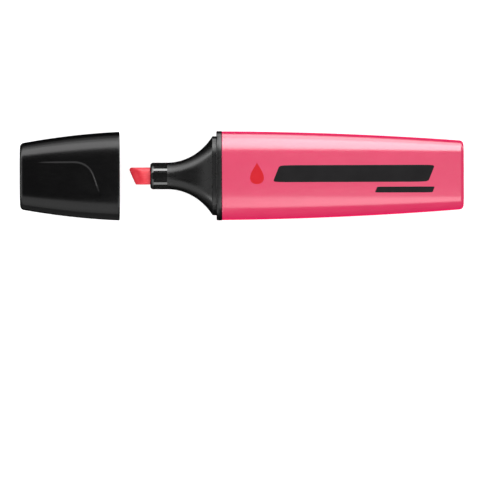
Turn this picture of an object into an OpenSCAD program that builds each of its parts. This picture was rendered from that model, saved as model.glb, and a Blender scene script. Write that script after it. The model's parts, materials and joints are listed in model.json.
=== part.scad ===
// Flat chisel-nib highlighter, lying on a broad face with its cap pulled off in line.
// X runs along the pen from the cap's closed end to the barrel's closed end, Y across the
// broad faces and Z up. The origin is on the surface it lies on, midway along its length.

/* [Overall] */
// Length with the cap on
closed_len = 105; // [95:1:115]
// Width across a broad face, at the flange
body_w = 26.9; // [26:0.1:29]
// Thickness between the broad faces, at the flange
body_t = 17; // [16.4:0.1:19]
// Width of the flat strip along each broad face
flat_w = 11; // [10:0.5:12]
// How square the curve from a broad face to a side is: 2 is an ellipse
squareness = 2.5; // [2.3:0.1:2.8]
// Distance from the cap's mouth to the flange as shown
cap_off = 29.4; // [28:0.1:40]

/* [Barrel] */
// Width of the closed end
barrel_end_w = 20.8; // [19:0.1:24]
// Thickness of the closed end
barrel_end_t = 14.2; // [13.6:0.1:16]
// Length over which the broad faces stay parallel
parallel_len = 22; // [15:1:30]
// Wall thickness
barrel_wall = 1.45; // [1.2:0.05:1.6]
// Thickness of the end wall
barrel_end_wall = 1.8; // [1.5:0.1:2.5]
// Edge radius round the closed end
barrel_edge = 1.1; // [0.6:0.1:1.4]

/* [Front section] */
// Thickness of the flange between cap and barrel
flange_t = 1.7; // [1.2:0.1:2.5]
// How far the flange stands proud of the barrel's sides
flange_proud = 0.1; // [0:0.05:0.2]
// Thickness of the rim that enters the cap's mouth
rim_t = 1.2; // [1:0.1:2]
// Step from the flange's edge in to the rim
rim_step = 1.45; // [1.3:0.05:1.6]
// Length of the flared cone from rim to neck
cone_len = 13.7; // [12:0.1:14]
// Diameter of the neck and the nib collar
neck_d = 8.1; // [7.9:0.1:8.6]
// Wall thickness
section_wall = 1.3; // [1.1:0.05:1.4]
// Length of the skirt inside the barrel
skirt_len = 9; // [6:0.5:12]

/* [Nib] */
// Visible length of the collar
collar_len = 5.15; // [4:0.05:5.5]
// Edge radius at the collar's front
collar_edge = 0.9; // [0.4:0.1:1]
// Width of the nib, which is the widest line it draws
nib_w = 5.2; // [4.6:0.1:5.2]
// Thickness of the nib
nib_t = 3.8; // [3.4:0.1:3.9]
// Length of nib in front of the collar
nib_out = 6.7; // [5:0.1:7]
// Angle of the writing edge
nib_slant = 23.5; // [15:0.5:30]
// Angle of each bevel
nib_bevel = 27; // [22:1:35]

/* [Cap] */
// Length of the cap
cap_len = 30.1; // [29.6:0.1:33]
// Width of the closed end
cap_end_w = 20; // [18.5:0.1:24]
// Thickness of the closed end
cap_end_t = 13.8; // [13.4:0.1:16]
// Wall thickness
cap_wall = 1.6; // [1.4:0.05:1.8]
// Edge radius round the closed end
cap_edge = 1; // [0.5:0.1:1.3]
// Outer diameter of the sealing inner cap
liner_d = 10.4; // [10.2:0.1:11]

/* [Reservoir] */
// Diameter over the film
reservoir_d = 11.1; // [10:0.1:11.2]
// Length
reservoir_len = 66; // [55:1:66]
// Thickness of the film
film_t = 0.2; // [0.15:0.05:0.3]

/* [Hidden] */
$fn = 64;

facets = 48;            // sides of each lofted ring
cut = 0.5;              // overrun of a cutting shape
press = 0.02;           // gap between parts that are pressed together
slide = 0.1;            // gap round the rim in the cap's mouth
seal_gap = 0.04;        // gap between the collar and the inner cap's seal

barrel_len = closed_len - cap_len - flange_t;
stop_x = (closed_len + cap_off) / 2 - barrel_len - flange_t;
axis_z = body_t / 2;

half_w = body_w / 2;
half_t = body_t / 2;
half_flat = flat_w / 2;
bore_w = half_w - barrel_wall;
bore_t = half_t - barrel_wall;
rim_w = half_w - rim_step;
rim_h = half_t - rim_step;
neck_r = neck_d / 2;
skirt_end = flange_t + skirt_len;
neck_x = -rim_t - cone_len;
collar_x = neck_x - collar_len;
nib_x = collar_x - nib_out;
socket_r = neck_r - 0.85;
socket_len = 4.8;

seat_r = reservoir_d / 2 + 0.1;
reservoir_x = -0.8;
nib_bury = 9.8;
nib_corner = 1.6;
nib_point = 2.5;        // length of the taper at the nib's buried end
nib_tip_r = 0.7;
nib_edge_t = 0.6;

liner_r = liner_d / 2;
liner_gap = 0.5;        // from the neck to the inner cap's mouth, with the cap on
liner_bore = neck_r + 0.3;
liner_end_t = 0.9;
seal_len = 2;
boss_wall = 1;
boss_len = 1.4;
cap_floor_x = -cap_len + cap_wall;
liner_x = neck_x - liner_gap;

// The share of a taper that is used up at u from 0 to 1, straight by share k and curved by the rest.
function taper(u, k) = k * u + (1 - k) * u * u;
function mix(a, b, u) = a + (b - a) * u;

// Half width and half thickness of the barrel, x behind the flange's front face.
function barrel_u(x) = max(0, (x - flange_t) / barrel_len);
function flat_u(x) = max(0, (x - flange_t - parallel_len) / (barrel_len - parallel_len));
function barrel_w(x) = mix(half_w, barrel_end_w / 2, taper(barrel_u(x), 0.15));
function barrel_t(x) = mix(half_t, barrel_end_t / 2, taper(flat_u(x), 0));

// Half width, half thickness and half flat of the cap, x from its mouth at 0 back to its end.
function cap_w(x) = mix(half_w, cap_end_w / 2, taper(-x / cap_len, 0.4));
function cap_t(x) = mix(half_t, cap_end_t / 2, taper(-x / cap_len, 0.4));
function cap_flat(x) = half_flat * cap_w(x) / half_w;

// The cone flares along part of an ellipse, from 0 at the neck to 1 at the rim.
flare_share = 0.82;     // how much of a quarter ellipse the cone follows
function flare(u) =
    (1 - sqrt(1 - pow(flare_share * u, 2))) / (1 - sqrt(1 - pow(flare_share, 2)));
function cone_u(x) = (x - neck_x) / cone_len;
function cone_w(x) = mix(neck_r, rim_w, flare(cone_u(x)));
function cone_t(x) = mix(neck_r, rim_h, flare(cone_u(x)));
function cone_flat(x) = mix(0, half_flat, flare(cone_u(x)));
function cone_n(x) = mix(2, squareness, cone_u(x));

// Half of a superellipse of half axes a - flat and b on each side, with a flat of half width
// flat between them on each broad face. At both poles the curve is a flat facet.
function pole(n) = pow(cos(180 / facets), 2 / n);
function arc_at(v, n) = sign(v) * pow(abs(v), 2 / n) / pole(n);
function outline(a, b, flat = half_flat, n = squareness) = [
    for (i = [0:facets - 1])
        let (q = 360 * (i + 0.5) / facets)
            [sign(cos(q)) * flat + (a - flat) * arc_at(cos(q), n), b * arc_at(sin(q), n)]
];

// A solid through rings in order of x, each [x, half width, half thickness, half flat, squareness].
module loft(rings) {
    m = facets;
    last = len(rings) - 1;
    points = [
        for (r = rings)
            each [for (p = outline(r[1], r[2], r[3], r[4])) [r[0], p.x, p.y]]
    ];
    sides = [
        for (k = [0:last - 1], i = [0:m - 1])
            let (a = k * m + i, b = k * m + (i + 1) % m)
                each [[a, a + m, b + m], [a, b + m, b]]
    ];
    front = [for (i = [0:m - 1]) i];
    back = [for (i = [m - 1:-1:0]) last * m + i];
    polyhedron(points, concat([front], sides, [back]));
}

// Turns a shape drawn in the XY plane and extruded along Z so that it extends along X.
module along_x(x, length) {
    translate([x, 0, 0]) rotate([90, 0, 90]) linear_extrude(length) children();
}

module slab(x0, x1, a, b) {
    along_x(x0, x1 - x0) polygon(outline(a, b));
}

module rod(x0, x1, r) {
    translate([x0, 0, 0]) rotate([0, 90, 0]) cylinder(h = x1 - x0, r = r);
}

// Turns a profile drawn as [distance along X, radius] round the pen's axis.
module turned(profile) {
    rotate([0, 90, 0]) rotate_extrude() polygon([for (p = profile) [p[1], p[0]]]);
}

module box(x0, x1, y0, y1, z0, z1) {
    translate([x0, y0, z0]) cube([x1 - x0, y1 - y0, z1 - z0]);
}

module both_sides() {
    children();
    mirror([0, 1, 0]) children();
}

// ---- barrel ----

module barrel_outside() {
    end = flange_t + barrel_len;
    edge = end - barrel_edge;
    spans = 10;
    body = [
        for (i = [0:spans])
            let (x = mix(flange_t, edge, i / spans))
                [x, barrel_w(x), barrel_t(x), half_flat, squareness]
    ];
    round_end = [
        for (q = [22.5:22.5:90])
            let (x = edge + barrel_edge * sin(q), inset = barrel_edge * (1 - cos(q)))
                [x, barrel_w(x) - inset, barrel_t(x) - inset, half_flat, squareness]
    ];
    loft(concat(body, round_end));
}

// The mouth is a straight socket for the skirt, and the rest follows the outside.
module barrel_cavity() {
    socket = skirt_end + cut;
    end = flange_t + barrel_len - barrel_end_wall;
    spans = 5;
    slab(flange_t - cut, socket, bore_w, bore_t);
    loft([
        for (i = [0:spans])
            let (x = mix(socket, end, i / spans))
                [x, barrel_w(x) - barrel_wall, barrel_t(x) - barrel_wall, half_flat, squareness]
    ]);
}

// Side ribs centre the reservoir, and a cross on the end wall keeps it forward.
module barrel_ribs() {
    rib_t = 1;
    end = flange_t + barrel_len;
    stop = reservoir_x + reservoir_len + 0.2;
    side_x = skirt_end + 2;
    both_sides() box(side_x, end, reservoir_d / 2 + 0.15, half_w, -rib_t / 2, rib_t / 2);
    box(stop, end, -half_w, half_w, -rib_t / 2, rib_t / 2);
    box(stop, end, -rib_t / 2, rib_t / 2, -half_t, half_t);
}

module barrel() {
    color("hotpink")
        difference() {
            barrel_outside();
            difference() {
                barrel_cavity();
                barrel_ribs();
            }
        }
}

// ---- front section ----

module section_outside() {
    spans = 10;
    slab(0, flange_t, half_w + flange_proud, half_t);
    slab(-rim_t, 0, rim_w, rim_h);
    slab(flange_t, skirt_end, bore_w - press, bore_t - press);
    loft([
        for (i = [0:spans])
            let (x = mix(neck_x, -rim_t, i / spans))
                [x, cone_w(x), cone_t(x), cone_flat(x), cone_n(x)]
    ]);
}

module section_hollow() {
    spans = 5;
    start = neck_x + socket_len;
    slab(-rim_t, skirt_end + cut, bore_w - section_wall, bore_t - section_wall);
    loft([
        for (i = [0:spans])
            let (x = mix(start, -rim_t, i / spans))
                [x, cone_w(x) - section_wall, cone_t(x) - section_wall, cone_flat(x), cone_n(x)]
    ]);
}

// The tube that takes the reservoir's front end, held by ribs to the skirt's sides.
module reservoir_seat() {
    seat_wall = 0.9;
    rib_t = 0.9;
    rod(-rim_t, skirt_end, seat_r + seat_wall);
    for (z = [-2.6, 2.6])
        box(-rim_t, skirt_end, -bore_w, bore_w, z - rib_t / 2, z + rib_t / 2);
}

module front_section() {
    color("dimgray")
        difference() {
            section_outside();
            difference() {
                section_hollow();
                reservoir_seat();
            }
            rod(-rim_t, skirt_end + cut, seat_r);
            rod(neck_x - cut, neck_x + socket_len + cut, socket_r);
        }
}

// ---- nib and its collar ----

// A rectangle of half sides a and b with round corners of radius r.
module rounded(a, b, r) {
    square([2 * a, 2 * (b - r)], center = true);
    square([2 * (a - r), 2 * b], center = true);
    for (x = [-1, 1], y = [-1, 1]) translate([x * (a - r), y * (b - r)]) circle(r);
}

module nib_bar(x0, x1, gap) {
    along_x(x0, x1 - x0) rounded(nib_w / 2 + gap, nib_t / 2 + gap, nib_corner + gap);
}

// The nib's outline in plan, with the slanted writing edge in front and a point behind.
module nib_plan(gap) {
    back = reservoir_x + nib_bury + gap;
    a = nib_w / 2 + gap;
    skew = nib_w * tan(nib_slant);
    polygon([
        [nib_x, a], [back - nib_point, a], [back, a / 2],
        [back, -a / 2], [back - nib_point, -a], [nib_x + skew, -a]
    ]);
}

// The two bevels that meet at the writing edge, as a wedge that opens towards the back.
module nib_wedge() {
    reach = 60;
    rise = reach * tan(nib_bevel);
    mid = nib_x + nib_w * tan(nib_slant) / 2;
    translate([mid, 0, 0])
        rotate([90, 0, nib_slant])
            linear_extrude(reach, center = true)
                polygon([
                    [0, -nib_edge_t / 2], [reach, -nib_edge_t / 2 - rise],
                    [reach, nib_edge_t / 2 + rise], [0, nib_edge_t / 2]
                ]);
}

module nib() {
    color("crimson")
        intersection() {
            nib_bar(nib_x - cut, reservoir_x + nib_bury, 0);
            linear_extrude(2 * nib_t, center = true)
                offset(nib_tip_r, $fn = 24) offset(delta = -nib_tip_r) nib_plan(0);
            nib_wedge();
        }
}

module nib_collar() {
    vent_w = 0.8;
    vent_deep = 0.45;
    spigot_end = neck_x + socket_len;
    round_front = [
        for (q = [90:-15:0])
            [collar_x + collar_edge * (1 - sin(q)), neck_r - collar_edge * (1 - cos(q))]
    ];
    color("black")
        difference() {
            turned(concat(
                [[collar_x, 0]],
                round_front,
                [[neck_x, neck_r], [neck_x, socket_r - press], [spigot_end, socket_r - press],
                 [spigot_end, 0]]
            ));
            nib_bar(collar_x - cut, spigot_end + cut, press);
            box(collar_x - cut, spigot_end + cut, -vent_w / 2, vent_w / 2,
                -nib_t / 2 - vent_deep, nib_t / 2 + vent_deep);
        }
}

// ---- reservoir ----

module reservoir_core() {
    color("pink")
        difference() {
            rod(reservoir_x, reservoir_x + reservoir_len, reservoir_d / 2 - film_t);
            intersection() {
                nib_bar(reservoir_x - cut, reservoir_x + nib_bury + cut, press);
                linear_extrude(2 * nib_t, center = true) nib_plan(press);
            }
        }
}

module reservoir_film() {
    color("white")
        difference() {
            rod(reservoir_x, reservoir_x + reservoir_len, reservoir_d / 2);
            rod(reservoir_x - cut, reservoir_x + reservoir_len + cut, reservoir_d / 2 - film_t);
        }
}

// ---- cap ----

module cap_outside() {
    edge = -cap_len + cap_edge;
    spans = 9;
    round_end = [
        for (q = [90:-22.5:22.5])
            let (x = edge - cap_edge * sin(q), inset = cap_edge * (1 - cos(q)))
                [x, cap_w(x) - inset, cap_t(x) - inset, cap_flat(x), squareness]
    ];
    body = [
        for (i = [0:spans])
            let (x = mix(edge, 0, i / spans))
                [x, cap_w(x), cap_t(x), cap_flat(x), squareness]
    ];
    loft(concat(round_end, body));
}

// The mouth is a straight socket for the rim, and the rest follows the outside.
module cap_cavity() {
    socket = -2 * rim_t;
    spans = 5;
    slab(socket, cut, rim_w + slide, rim_h + slide);
    loft([
        for (i = [0:spans])
            let (x = mix(cap_floor_x, socket, i / spans))
                [x, cap_w(x) - cap_wall, cap_t(x) - cap_wall, cap_flat(x), squareness]
    ]);
}

module cap_shell() {
    color("black")
        difference() {
            cap_outside();
            difference() {
                cap_cavity();
                rod(cap_floor_x, cap_floor_x + boss_len, liner_r + press + boss_wall);
            }
            rod(cap_floor_x, cap_floor_x + boss_len + cut, liner_r + press);
        }
}

// A cup that seals on the collar. Its bore has a narrower sealing land near the mouth.
module inner_cap() {
    lead = 0.4;
    land = neck_r + seal_gap;
    color("darkslategray")
        turned([
            [cap_floor_x, 0], [cap_floor_x, liner_r], [liner_x - lead, liner_r],
            [liner_x, liner_r - lead], [liner_x, land + lead], [liner_x - lead, land],
            [liner_x - lead - seal_len, land],
            [liner_x - lead - seal_len - lead, liner_bore],
            [cap_floor_x + liner_end_t, liner_bore], [cap_floor_x + liner_end_t, 0]
        ]);
}

module on_pen() {
    translate([stop_x, 0, axis_z]) children();
}

module on_cap() {
    translate([stop_x - cap_off, 0, axis_z]) children();
}

on_pen() barrel();
on_pen() front_section();
on_pen() nib_collar();
on_pen() nib();
on_pen() reservoir_core();
on_pen() reservoir_film();
on_cap() cap_shell();
on_cap() inner_cap();
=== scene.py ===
"""The looks of a flat chisel-nib highlighter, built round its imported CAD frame."""
import json
import math

import bmesh
import bpy
import numpy as np
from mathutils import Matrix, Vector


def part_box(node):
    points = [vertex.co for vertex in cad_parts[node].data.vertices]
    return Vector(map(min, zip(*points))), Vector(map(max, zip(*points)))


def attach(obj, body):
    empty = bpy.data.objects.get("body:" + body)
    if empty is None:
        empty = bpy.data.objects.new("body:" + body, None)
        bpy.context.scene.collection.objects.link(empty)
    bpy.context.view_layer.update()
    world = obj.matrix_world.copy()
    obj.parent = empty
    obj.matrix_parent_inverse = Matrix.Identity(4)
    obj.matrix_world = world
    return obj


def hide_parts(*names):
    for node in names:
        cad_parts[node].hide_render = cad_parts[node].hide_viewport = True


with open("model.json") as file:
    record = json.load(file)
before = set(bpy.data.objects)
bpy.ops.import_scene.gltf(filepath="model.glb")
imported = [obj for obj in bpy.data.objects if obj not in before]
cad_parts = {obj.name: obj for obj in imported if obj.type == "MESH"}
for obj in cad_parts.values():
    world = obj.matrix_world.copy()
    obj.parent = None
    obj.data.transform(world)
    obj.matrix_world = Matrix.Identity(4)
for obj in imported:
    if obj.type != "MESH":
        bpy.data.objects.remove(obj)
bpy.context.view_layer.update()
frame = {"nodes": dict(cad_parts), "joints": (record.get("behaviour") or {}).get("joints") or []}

mm = 0.001

# ---- places, from the frame ----

barrel_lo, barrel_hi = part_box("barrel")
section_lo, section_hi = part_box("front_section")
collar_lo, collar_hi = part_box("nib_collar")
nib_lo, nib_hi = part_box("nib")
cap_lo, cap_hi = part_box("cap_shell")
liner_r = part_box("inner_cap")[1].y
cap_slide = next(j for j in frame["joints"] if j["name"] == "cap_slide")

axis_z = (barrel_lo.z + barrel_hi.z) / 2
half_w = barrel_hi.y
half_t = barrel_hi.z - axis_z
# The flange's front face stays this far clear of the closed cap, so that the two don't share a plane.
seat_gap = 0.02 * mm
stop_x = cap_hi.x - cap_slide["range_m"][0] + seat_gap
neck_x = section_lo.x
neck_r = collar_hi.y
cap_len = cap_hi.x - cap_lo.x
barrel_len = barrel_hi.x - barrel_lo.x
nib_half_t = (nib_hi.z - nib_lo.z) / 2

# ---- dimensions that the boxes don't give ----

# The cross-section of barrel and cap: a superellipse with a flat in the middle of each broad face,
# which falls away a little from crown_start outwards.
squareness = 2.5
half_flat = 5.5 * mm
rear_flat = 6.3 * mm
crown_drop = 0.02
crown_start = 2.6 * mm
crown_reach = 6 * mm

# An end is its half width and half thickness. straight is the share of a taper that isn't curved.
# The barrel keeps its full thickness over parallel_len, and its bore widens over barrel_shoulder.
barrel_end = (10.4 * mm, 7.1 * mm)
barrel_straight = 0.15
parallel_len = 22 * mm
barrel_wall = 1.45 * mm
barrel_end_wall = 1.8 * mm
barrel_edge = 1.1 * mm
barrel_lip = 0.15 * mm
barrel_shoulder = 0.5 * mm

# The rim's rings stand a little off its two corners, which keeps the shading of its side even.
# The cone's flare is the share flare_share of a quarter circle, stretched to fit.
rim_t = 1.2 * mm
rim_step = 1.45 * mm
rim_front_gap = 0.15 * mm
rim_root_gap = 0.05 * mm
flange_edge = 0.35 * mm
flange_back_edge = 0.2 * mm
section_wall = 1.3 * mm
flare_share = 0.82

cap_end = (10 * mm, 6.9 * mm)
cap_straight = 0.4
cap_wall = 1.6 * mm
cap_edge = 1 * mm
cap_lip = 0.2 * mm
slide_gap = 0.1 * mm
press_gap = 0.02 * mm
boss_wall = 1 * mm
boss_len = 1.4 * mm

collar_edge = 0.9 * mm
collar_lead = 0.15 * mm
socket_r = neck_r - 0.85 * mm
vent_half = 0.4 * mm
vent_depth = 0.45 * mm

nib_squareness = 2.7
nib_slant = math.radians(23.5)
nib_bevel = math.radians(27)
nib_edge_t = 0.6 * mm
nib_tip_r = 0.7 * mm
nib_blend = 0.35 * mm

# ---- how finely the shapes are divided ----

quarter_steps = 360
flat_points = 60
ring_sides = 192
cap_sides = 384
# A side starts this many edge or lip radii from the end face.
edge_clear = 1.2
lip_clear = 2


# ---- mesh helpers ----

def smooth_step(t):
    """0 up to t = 0, 1 from t = 1, and smooth between."""
    t = np.clip(t, 0, 1)
    return t * t * (3 - 2 * t)


def crown(y):
    """The share of its height that a broad face keeps at y."""
    return 1 - crown_drop * smooth_step((np.abs(y) - crown_start) / crown_reach)


def outline(a, b, flat, n, sides):
    """Evenly spaced (y, z) points about the axis: half a superellipse of half axes a - flat and b
    and squareness n on each side, and between them a flat of half width flat on each broad face."""
    q = np.linspace(0, 2 * np.pi, 4 * quarter_steps + 1)
    c = np.cos(q)
    s = np.sin(q)
    k = (np.abs(c) ** n + np.abs(s) ** n) ** (-1 / n)
    y = np.sign(c) * flat + (a - flat) * c * k
    z = b * s * k
    if flat > 0:
        top = quarter_steps + 1
        bottom = 3 * quarter_steps + 1
        across = np.linspace(flat, -flat, flat_points)
        level = np.full(flat_points, b)
        y = np.concatenate([y[:top], across, y[top:bottom], -across, y[bottom:]])
        z = np.concatenate([z[:top], level, z[top:bottom], -level, z[bottom:]])
        z = z * crown(y)
    steps = np.hypot(np.diff(y), np.diff(z))
    along = np.concatenate([[0], np.cumsum(steps)])
    at = np.linspace(0, along[-1], sides, endpoint=False)
    return np.interp(at, along, y), np.interp(at, along, z)


def ring(x, a, b, flat, n, sides=ring_sides):
    """The points of an outline in the plane at x."""
    y, z = outline(a, b, flat, n, sides)
    return np.column_stack([np.full(sides, x), y, axis_z + z])


def skin(name, rings, loop=False, sharp=40):
    """A closed mesh through rings of equal length: capped at both ends, or joined end to start.
    Edges that turn by more than sharp degrees are shaded sharp."""
    count = len(rings)
    sides = len(rings[0])
    points = np.concatenate(rings)
    spans = count if loop else count - 1
    i = np.arange(sides)
    j = (i + 1) % sides
    faces = []
    for k in range(spans):
        a = k * sides
        b = (k + 1) % count * sides
        faces += np.column_stack([a + i, a + j, b + j, b + i]).tolist()
    if not loop:
        faces.append(i.tolist())
        faces.append(((count - 1) * sides + i).tolist())
    mesh = bpy.data.meshes.new(name)
    mesh.from_pydata(points.tolist(), [], faces)
    bm = bmesh.new()
    bm.from_mesh(mesh)
    bmesh.ops.recalc_face_normals(bm, faces=bm.faces)
    bm.to_mesh(mesh)
    bm.free()
    mesh.shade_smooth()
    mesh.set_sharp_from_angle(angle=math.radians(sharp))
    piece = bpy.data.objects.new(name, mesh)
    bpy.context.scene.collection.objects.link(piece)
    return piece


def side(size, x0, x1, steps, **ring_args):
    """Rings along a side whose size at x is size(x): half width, half thickness, half flat, squareness."""
    return [ring(x, *size(x), **ring_args) for x in np.linspace(x0, x1, steps)]


def edge(size, x, radius, facing, steps=7, **ring_args):
    """Rings round an outer edge, between the end face at x that looks along facing and the side."""
    turns = np.linspace(0, math.pi / 2, steps)
    if facing > 0:
        turns = turns[::-1]
    rings = []
    for t in turns:
        at = x - facing * radius * (1 - math.cos(t))
        inset = radius * (1 - math.sin(t))
        rings.append(ring(at, *inside(size, inset)(at), **ring_args))
    return rings


def taper(u, straight):
    """The share of a taper that is used up at u: part of it straight, and the rest curved."""
    return straight * u + (1 - straight) * u * u


def mix(a, b, u):
    return a + (b - a) * u


# ---- sizes along the pen: half width, half thickness, half flat and squareness at x ----

def barrel_size(x):
    u = max(0, (x - barrel_lo.x) / barrel_len)
    v = max(0, (x - barrel_lo.x - parallel_len) / (barrel_len - parallel_len))
    a = mix(half_w, barrel_end[0], taper(u, barrel_straight))
    b = mix(half_t, barrel_end[1], v * v)
    return a, b, mix(half_flat, rear_flat, min(u, 1)), squareness


def cap_size(x):
    t = taper((cap_hi.x - x) / cap_len, cap_straight)
    a = mix(half_w, cap_end[0], t)
    return a, mix(half_t, cap_end[1], t), half_flat * a / half_w, squareness


def cone_size(x):
    u = (x - neck_x) / (stop_x - rim_t - neck_x)
    flare = (1 - math.sqrt(1 - (flare_share * u) ** 2)) / (1 - math.sqrt(1 - flare_share ** 2))
    a = mix(neck_r, half_w - rim_step, flare)
    b = mix(neck_r, half_t - rim_step, flare)
    return a, b, mix(0, half_flat, flare), mix(2, squareness, u)


def constant(a, b):
    """A size that is the same all along."""
    return lambda x: (a, b, half_flat, squareness)


def oval(a, b):
    """A size whose section is an ellipse, or a circle, all along."""
    return lambda x: (a, b, 0, 2)


def inside(size, wall):
    """The size inside a wall."""
    def inner(x):
        a, b, flat, n = size(x)
        return a - wall, b - wall, flat, n
    return inner


# ---- barrel ----

def make_barrel():
    cavity = inside(barrel_size, barrel_wall)
    socket = constant(half_w - barrel_wall, half_t - barrel_wall)
    floor = barrel_hi.x - barrel_end_wall
    side_start = barrel_lo.x + lip_clear * barrel_lip
    side_end = barrel_hi.x - edge_clear * barrel_edge
    return skin("barrel_shell", [
        *side(cavity, floor, section_hi.x + 2 * barrel_shoulder, 12),
        *side(socket, section_hi.x + barrel_shoulder, barrel_lo.x, 3),
        *edge(barrel_size, barrel_lo.x, barrel_lip, -1, 4),
        *side(barrel_size, side_start, side_end, 90),
        *edge(barrel_size, barrel_hi.x, barrel_edge, 1, 10),
    ])


# ---- front section ----

def make_section():
    rim = constant(half_w - rim_step, half_t - rim_step)
    flange = constant(section_hi.y, half_t)
    skirt = constant(half_w - barrel_wall - press_gap, half_t - barrel_wall - press_gap)
    hollow = constant(skirt(0)[0] - section_wall, skirt(0)[1] - section_wall)
    socket = oval(socket_r, socket_r)
    rim_x = stop_x - rim_t
    socket_end = collar_hi.x
    return skin("front_section_moulding", [
        *side(cone_size, neck_x, rim_x, 60),
        *side(rim, rim_x + rim_front_gap, stop_x - rim_root_gap, 4),
        *side(rim, stop_x, stop_x, 1),
        *edge(flange, stop_x, flange_edge, -1),
        *edge(flange, barrel_lo.x, flange_back_edge, 1, 5),
        *side(skirt, barrel_lo.x, section_hi.x, 3),
        *side(hollow, section_hi.x, rim_x, 3),
        *side(inside(cone_size, section_wall), rim_x, socket_end, 12),
        *side(socket, socket_end, neck_x, 3),
    ], loop=True)


# ---- nib and collar ----

def nib_outline(gap):
    """The nib's cross-section as (y, z) points about the axis: a rounded bar, larger by gap all round."""
    return outline(nib_hi.y + gap, nib_half_t + gap, 0, nib_squareness, ring_sides)


def make_collar():
    """A ring with a spigot behind, and a bore for the nib with a vent slot in its top and bottom."""
    y, z = nib_outline(press_gap)
    z = np.where(np.abs(y) < vent_half, np.sign(z) * (nib_half_t + vent_depth), z)

    def hole(x, widening=0):
        grow = 1 + widening / nib_hi.y
        return np.column_stack([np.full(len(y), x), y * grow, axis_z + z * grow])

    body = oval(neck_r, neck_r)
    spigot = oval(socket_r - press_gap, socket_r - press_gap)
    return skin("nib_collar_ring", [
        hole(collar_lo.x, collar_lead),
        *edge(body, collar_lo.x, collar_edge, -1, 12),
        *side(body, collar_lo.x + edge_clear * collar_edge, neck_x, 12),
        *side(spigot, neck_x, collar_hi.x, 3),
        hole(collar_hi.x),
        hole(collar_lo.x + collar_lead),
    ], loop=True)


def nib_front(y):
    """Where the writing edge lies at each y, with both of its corners rounded off."""
    half = nib_hi.y
    slope = math.tan(nib_slant)
    edge_x = nib_lo.x - nib_tip_r * (slope + 1 / math.cos(nib_slant) - 1)
    x = edge_x + (half - y) * slope
    for sign in (1, -1):
        mid_y = sign * (half - nib_tip_r)
        mid_x = edge_x + (half - mid_y) * slope + nib_tip_r / math.cos(nib_slant)
        touch_y = mid_y - nib_tip_r * math.sin(nib_slant)
        past = (y - touch_y) * sign > 0
        round_x = mid_x - np.sqrt(np.maximum(nib_tip_r ** 2 - (y - mid_y) ** 2, 0))
        x = np.where(past, round_x, x)
    return x


def soft_min(a, b, width):
    """The lesser of a and b, with a round where they cross, where they differ by less than width."""
    overlap = np.maximum(width - np.abs(a - b), 0)
    return np.minimum(a, b) - overlap ** 2 / (4 * width)


def make_nib():
    """Rings that follow the slanted edge at the front and turn square to the pen inside the collar."""
    y, z = nib_outline(0)
    front = nib_front(y)
    square_x = collar_lo.x
    edge_depths = [0.02, 0.06, 0.14, 0.26, 0.42]
    depths = np.concatenate([edge_depths, np.linspace(0.6, 6.6, 40)]) * mm
    tip_round = 0.3 * mm
    turn_start = 4 * mm
    turn_len = 2.6 * mm
    least_height = 0.02 * mm
    rings = []
    for d in depths:
        wedge = nib_edge_t / 2 + d * math.cos(nib_slant) * math.tan(nib_bevel)
        tip = 1 - 0.5 * (1 - smooth_step(d / tip_round))
        height = np.maximum(soft_min(np.abs(z), wedge * tip, nib_blend), least_height)
        x = mix(front + d, square_x, smooth_step((d - turn_start) / turn_len))
        rings.append(np.column_stack([x, y, axis_z + np.sign(z) * height]))
    tail = 2.5 * mm
    for x, scale in ((square_x + mm, 1), (nib_hi.x - tail, 1), (nib_hi.x, 0.5)):
        rings.append(np.column_stack([np.full(len(y), x), y * scale, axis_z + z * scale]))
    return skin("nib_chisel", rings, sharp=75)


# ---- cap ----

def thumb_recess(points):
    """Sinks a shallow recess into both broad faces. A soft crease bounds it towards the cap's mouth and
    at one side, and it fades out towards the closed end and the other side."""
    depth = 0.36 * mm
    crease_w = 0.6 * mm
    dish = 9 * mm
    crease_y = 4.5 * mm
    crease_s = 7.4 * mm
    lean = 0.34
    corner = 4.4 * mm
    far_end = 30 * mm
    end_fade = 14 * mm
    far_side = 6.5 * mm
    side_fade = 4 * mm
    up = np.sign(points[:, 2] - axis_z)
    s = cap_hi.x - points[:, 0]
    y = points[:, 1] * up
    from_side = crease_y - y
    from_front = (s - crease_s - lean * y) / math.hypot(1, lean)
    d = soft_min(from_side, from_front, corner)
    sunk = depth * smooth_step(d / crease_w) * (1 - smooth_step(d / dish))
    sunk *= smooth_step((far_end - s) / end_fade) * smooth_step((y + far_side) / side_fade)
    points[:, 2] -= up * sunk
    return points


def make_cap():
    cavity = inside(cap_size, cap_wall)
    socket = constant(half_w - rim_step + slide_gap, half_t - rim_step + slide_gap)
    floor = cap_lo.x + cap_wall
    socket_end = cap_hi.x - 2 * rim_t
    bore_r = liner_r + press_gap
    boss_b = min(bore_r + boss_wall, cavity(floor)[1] - press_gap)
    boss = oval(bore_r + boss_wall, boss_b)
    bore = oval(bore_r, bore_r)
    fine = {"sides": cap_sides}
    side_start = cap_hi.x - lip_clear * cap_lip
    side_end = cap_lo.x + edge_clear * cap_edge
    outer = [
        *edge(cap_size, cap_hi.x, cap_lip, 1, 4, **fine)[::-1],
        *side(cap_size, side_start, side_end, 150, **fine),
        *edge(cap_size, cap_lo.x, cap_edge, -1, 10, **fine)[::-1],
    ]
    return skin("cap_moulding", [
        *side(bore, floor, floor + boss_len, 2, **fine),
        *side(boss, floor + boss_len, floor, 2, **fine),
        *side(cavity, floor, socket_end, 12, **fine),
        *side(socket, socket_end, cap_hi.x, 3, **fine),
        *[thumb_recess(points) for points in outer],
    ])


# ---- print ----

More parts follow.
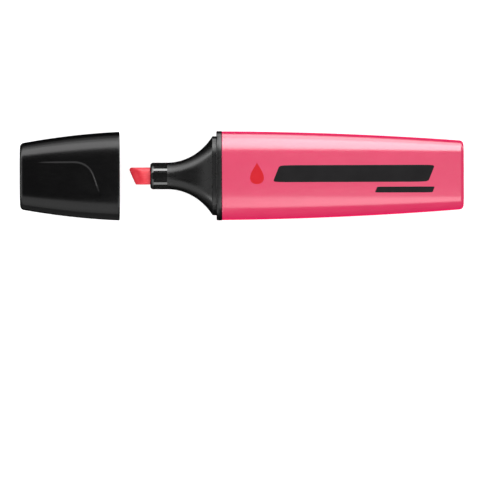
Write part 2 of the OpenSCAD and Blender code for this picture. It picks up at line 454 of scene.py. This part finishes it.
def barrel_top(x, y):
    """Height of the barrel's upper surface."""
    sizes = np.array([barrel_size(at) for at in x])
    a = sizes[:, 0]
    b = sizes[:, 1]
    flat = sizes[:, 2]
    u = np.maximum(np.abs(y) - flat, 0) / (a - flat)
    return axis_z + b * (1 - u ** squareness) ** (1 / squareness) * crown(y)


def decal(name, shape, centre):
    """A thin film of ink on the barrel's upper face, filling a shape of (x, y) points about centre.
    Its rings are the shape shrunk to a share of its size: out along the underside, back along the top."""
    film = 0.02 * mm
    under = (0.02, 0.35, 0.7, 1)
    over = (0.98, 0.85, 0.7, 0.5, 0.35, 0.2, 0.02)
    rings = []
    for lift, shares in ((-film, under), (film, over)):
        for share in shares:
            x = centre[0] + shape[:, 0] * share
            y = centre[1] + shape[:, 1] * share
            rings.append(np.column_stack([x, y, barrel_top(x, y) + lift]))
    return skin(name, rings)


def stroke_shape(length, width):
    """A stroke of a chisel nib: a bar with slanted ends and slightly rounded corners."""
    lean = 0.4
    boxiness = 16
    x, y = outline(length / 2, width / 2, 0, boxiness, 240)
    return np.column_stack([x + lean * y, y])


def drop_shape(radius):
    """An ink drop with its point towards +Y."""
    slimness = 0.9
    pointedness = 1.4
    q = np.linspace(0, 2 * np.pi, 120, endpoint=False)
    x = radius * slimness * np.sin(q) * np.sin(q / 2) ** pointedness
    return np.column_stack([x, radius * np.cos(q)])


# ---- materials ----

def node_material(name):
    material = bpy.data.materials.new(name)
    material.use_nodes = True
    nodes = material.node_tree.nodes
    nodes.clear()
    output = nodes.new("ShaderNodeOutputMaterial")
    shader = nodes.new("ShaderNodeBsdfPrincipled")
    material.node_tree.links.new(shader.outputs["BSDF"], output.inputs["Surface"])
    return material, nodes, material.node_tree.links, shader


def noise(nodes, links, scale, detail=4, stretch=(1, 1, 1)):
    """Noise in the piece's own coordinates. scale is in features per millimetre."""
    coordinates = nodes.new("ShaderNodeTexCoord")
    mapping = nodes.new("ShaderNodeMapping")
    mapping.inputs["Scale"].default_value = stretch
    texture = nodes.new("ShaderNodeTexNoise")
    texture.inputs["Scale"].default_value = scale / mm
    texture.inputs["Detail"].default_value = detail
    links.new(coordinates.outputs["Object"], mapping.inputs["Vector"])
    links.new(mapping.outputs["Vector"], texture.inputs["Vector"])
    return texture.outputs["Fac"]


def spread(nodes, links, value, low, high, span=(0.3, 0.7)):
    """Spreads a value out from low to high as it crosses span. The usual span suits noise."""
    node = nodes.new("ShaderNodeMapRange")
    node.inputs["From Min"].default_value = span[0]
    node.inputs["From Max"].default_value = span[1]
    node.inputs["To Min"].default_value = low
    node.inputs["To Max"].default_value = high
    links.new(value, node.inputs["Value"])
    return node.outputs["Result"]


def blend_colors(nodes, links, value, low, high):
    """A colour between low and high, as value goes from 0 to 1."""
    node = nodes.new("ShaderNodeMix")
    node.data_type = "RGBA"
    node.inputs["A"].default_value = (*low, 1)
    node.inputs["B"].default_value = (*high, 1)
    links.new(value, node.inputs["Factor"])
    return node.outputs["Result"]


def add_bump(nodes, links, shader, layers):
    """Stacks bump layers, each a (height value, depth in metres) pair."""
    last = None
    for value, depth in layers:
        bump = nodes.new("ShaderNodeBump")
        bump.inputs["Distance"].default_value = depth
        links.new(value, bump.inputs["Height"])
        if last is not None:
            links.new(last, bump.inputs["Normal"])
        last = bump.outputs["Normal"]
    links.new(last, shader.inputs["Normal"])


def plastic(name, low, high, roughness, grain, specular=0.5, coat=0, coat_roughness=0.1):
    """Moulded plastic: slightly uneven colour and gloss, fine scuffs, faint waves and a fine grain.
    The gloss fades where the surface is seen at a low angle, so that the broad faces don't mirror the
    bright cards and vanish into the background."""
    material, nodes, links, shader = node_material(name)
    cloud = noise(nodes, links, scale=0.15, detail=3)
    links.new(blend_colors(nodes, links, spread(nodes, links, cloud, 0, 1), low, high),
              shader.inputs["Base Color"])
    scuffs = noise(nodes, links, scale=0.9, detail=6, stretch=(0.35, 1, 1))
    links.new(spread(nodes, links, scuffs, *roughness), shader.inputs["Roughness"])
    fine = noise(nodes, links, scale=9, detail=3)
    waves = noise(nodes, links, scale=0.12, detail=2)
    wave_depth = 0.004 * mm
    add_bump(nodes, links, shader, [(waves, wave_depth), (fine, grain)])
    facing = nodes.new("ShaderNodeLayerWeight").outputs["Facing"]
    fade = (0.45, 0.78)
    links.new(spread(nodes, links, facing, specular, 0, fade), shader.inputs["Specular IOR Level"])
    links.new(spread(nodes, links, facing, coat, 0, fade), shader.inputs["Coat Weight"])
    shader.inputs["Coat Roughness"].default_value = coat_roughness
    return material


def fibre(name, low, high, grain):
    """Pressed fibre soaked with ink: streaks along the pen, open pores and little gloss."""
    material, nodes, links, shader = node_material(name)
    streaks = noise(nodes, links, scale=3, detail=5, stretch=(0.18, 1, 1))
    soak = noise(nodes, links, scale=0.5, detail=3)
    wetness = nodes.new("ShaderNodeMath")
    wetness.operation = "MULTIPLY"
    links.new(spread(nodes, links, streaks, 0.4, 1), wetness.inputs[0])
    links.new(spread(nodes, links, soak, 0.3, 1), wetness.inputs[1])
    links.new(blend_colors(nodes, links, wetness.outputs["Value"], low, high), shader.inputs["Base Color"])
    links.new(spread(nodes, links, soak, 0.42, 0.6), shader.inputs["Roughness"])
    pores = noise(nodes, links, scale=14, detail=2)
    add_bump(nodes, links, shader, [(streaks, grain), (pores, grain / 3)])
    shader.inputs["Specular IOR Level"].default_value = 0.5
    return material


# Colours are linear, and each surface varies from the first to the second. After them come the range
# of roughness and the depth of the grain.
barrel_pink = plastic("barrel_pink", (0.65, 0.0130, 0.090), (0.68, 0.0150, 0.097), (0.22, 0.27),
                      0.0004 * mm, specular=1, coat=1, coat_roughness=0.25)
cap_black = plastic("cap_black", (0.0024, 0.0024, 0.0026), (0.0030, 0.0030, 0.0032), (0.22, 0.25),
                    0.0004 * mm)
section_black = plastic("section_black", (0.0040, 0.0040, 0.0040), (0.0055, 0.0055, 0.0055), (0.26, 0.31),
                        0.0006 * mm, specular=0.6)
collar_black = plastic("collar_black", (0.008, 0.008, 0.008), (0.010, 0.010, 0.010), (0.03, 0.07),
                       0.0003 * mm, specular=1)
seal_black = plastic("seal_black", (0.020, 0.020, 0.021), (0.028, 0.028, 0.030), (0.45, 0.55), 0.004 * mm)
film_clear = plastic("film_clear", (0.70, 0.70, 0.70), (0.78, 0.78, 0.78), (0.15, 0.25), 0.001 * mm)
print_black = plastic("print_black", (0.007, 0.006, 0.007), (0.010, 0.009, 0.010), (0.36, 0.44),
                      0.0004 * mm, specular=0.15)
print_red = plastic("print_red", (0.50, 0.004, 0.012), (0.55, 0.006, 0.016), (0.36, 0.44),
                    0.0004 * mm, specular=0.15)
nib_pink = fibre("nib_pink", (0.84, 0.012, 0.035), (0.95, 0.060, 0.085), 0.02 * mm)
reservoir_pink = fibre("reservoir_pink", (0.75, 0.10, 0.18), (0.88, 0.25, 0.33), 0.03 * mm)


def paint(piece, material):
    piece.data.materials.clear()
    piece.data.materials.append(material)


def place(piece, body, material, node=None):
    """Paints a piece and ties it to the frame, in place of a CAD node if one is named."""
    paint(piece, material)
    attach(piece, body)
    if node:
        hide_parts(node)


place(make_barrel(), "pen", barrel_pink, "barrel")
place(make_section(), "pen", section_black, "front_section")
place(make_collar(), "pen", collar_black, "nib_collar")
place(make_nib(), "pen", nib_pink, "nib")
place(make_cap(), "cap", cap_black, "cap_shell")

# Each print has a shape, its centre on the barrel's upper face and an ink.
wide_line = stroke_shape(length=47.5 * mm, width=5.2 * mm)
thin_line = stroke_shape(length=17.6 * mm, width=1.8 * mm)
ink_drop = drop_shape(radius=3.3 * mm)
for name, shape, centre, ink in (("wide_line_print", wide_line, (33.9 * mm, 0.5 * mm), print_black),
                                 ("thin_line_print", thin_line, (49.3 * mm, -4.4 * mm), print_black),
                                 ("ink_drop_print", ink_drop, (4.6 * mm, 0.6 * mm), print_red)):
    place(decal(name, shape, centre), "pen", ink)

for node, material in (("inner_cap", seal_black), ("reservoir_core", reservoir_pink),
                       ("reservoir_film", film_clear)):
    paint(frame["nodes"][node], material)


# ---- studio ----

def make_floor():
    """A pale floor that glows a little, and that doesn't show in reflections."""
    reach = 3
    glow = 0.5
    mesh = bpy.data.meshes.new("floor")
    corners = [(-reach, -reach, 0), (reach, -reach, 0), (reach, reach, 0), (-reach, reach, 0)]
    mesh.from_pydata(corners, [], [(0, 1, 2, 3)])
    floor = bpy.data.objects.new("floor", mesh)
    bpy.context.scene.collection.objects.link(floor)
    material, nodes, links, shader = node_material("floor_pale")
    cloud = noise(nodes, links, scale=0.01, detail=2)
    links.new(blend_colors(nodes, links, cloud, (0.84, 0.84, 0.84), (0.86, 0.86, 0.86)),
              shader.inputs["Base Color"])
    shader.inputs["Roughness"].default_value = 0.9
    shader.inputs["Specular IOR Level"].default_value = 0
    shader.inputs["Emission Color"].default_value = (1, 1, 1, 1)
    shader.inputs["Emission Strength"].default_value = glow
    paint(floor, material)
    floor.visible_glossy = False


def make_light(name, location, rotation, length, width, radiance, diffuse=False):
    """A flat light that the camera doesn't see, with its length along its own X. Unless diffuse, it
    only shows as a reflection."""
    data = bpy.data.lights.new(name, "AREA")
    data.shape = "RECTANGLE"
    data.size = length
    data.size_y = width
    data.energy = radiance * math.pi * length * width
    light = bpy.data.objects.new(name, data)
    light.location = location
    light.rotation_euler = rotation
    light.visible_camera = False
    light.visible_diffuse = diffuse
    bpy.context.scene.collection.objects.link(light)


def make_card(name, hand, low, high, radiance, extent, distance=250 * mm, diffuse=False):
    """A card over the pen, towards +Y if hand is 1 and -Y if it is -1. Seen from the pen it goes from
    low to high degrees from straight up. extent is its middle and its length along the pen."""
    low = math.radians(low)
    high = math.radians(high)
    tilt = hand * (low + high) / 2
    width = 2 * distance * math.tan((high - low) / 2)
    middle, length = extent
    location = (middle, distance * math.sin(tilt), distance * math.cos(tilt))
    make_light(name, location, (-tilt, 0, 0), length, width, radiance, diffuse)


def make_floor_card(name, hand, near, far, radiance, extent):
    """A card that lies on the floor beside the pen, from near to far, and shines up."""
    lift = 0.5 * mm
    middle, length = extent
    location = (middle, hand * (near + far) / 2, lift)
    make_light(name, location, (math.pi, 0, 0), length, far - near, radiance)


def make_world(brightness):
    """Even white light from all round, which doesn't show in reflections."""
    world = bpy.data.worlds.new("studio")
    world.use_nodes = True
    background = world.node_tree.nodes["Background"]
    background.inputs["Color"].default_value = (1, 1, 1, 1)
    background.inputs["Strength"].default_value = brightness
    world.cycles_visibility.glossy = False
    bpy.context.scene.world = world


def make_camera():
    """Straight down on the upper face from far off, with the pen above the middle of the frame."""
    frame_width = 145.6 * mm
    centre = (-0.6 * mm, -19.5 * mm)
    roll = math.radians(-0.2)
    data = bpy.data.cameras.new("camera")
    data.sensor_width = 36
    data.lens = 600
    distance = frame_width * data.lens / data.sensor_width
    data.clip_start = 0.05
    data.clip_end = 20
    camera = bpy.data.objects.new("camera", data)
    camera.location = (*centre, axis_z + distance)
    camera.rotation_euler = (0, 0, roll)
    bpy.context.scene.collection.objects.link(camera)
    bpy.context.scene.camera = camera


make_floor()
# The cards over the cap, the collar and the barrel lie end to end, so that each has light of its own.
# An extent is the middle and the length.
along_barrel = (90 * mm, 220 * mm)
along_cap = (-281 * mm, 500 * mm)
along_collar = (-25.5 * mm, 11 * mm)
make_card("barrel_key", 1, 24, 88, 4.9, along_barrel)
make_card("barrel_top", -1, -14, 4, 0.38, along_barrel)
make_card("barrel_fill", -1, 8, 50, 1.9, along_barrel)
make_floor_card("barrel_low", 1, 30 * mm, 300 * mm, 2.5, along_barrel)
make_card("cap_key", 1, 31, 70, 3.3, along_cap)
make_card("cap_key_low", 1, 70, 89, 1.6, along_cap)
make_floor_card("cap_side", 1, 40 * mm, 300 * mm, 0.35, along_cap)
make_card("cap_fill", -1, 27, 70, 0.9, along_cap)
make_card("cap_fill_low", -1, 70, 89, 0.7, along_cap)
make_floor_card("cap_low", -1, 18 * mm, 300 * mm, 0.14, along_cap)
make_card("collar_key", 1, 43, 62, 7, along_collar, distance=150 * mm, diffuse=True)
make_card("collar_fill", -1, 54, 76, 2.4, along_collar, distance=150 * mm, diffuse=True)
make_light("left_card", (-0.5, 0, 0.5), (0, math.radians(-45), 0), length=0.2, width=0.5, radiance=0.7)
make_light("left_low_card", (-0.6, 0, 0.15), (0, math.radians(-76), 0), length=0.12, width=0.5, radiance=5)
make_world(brightness=1.3)
make_camera()
bpy.context.scene.view_settings.view_transform = "Standard"
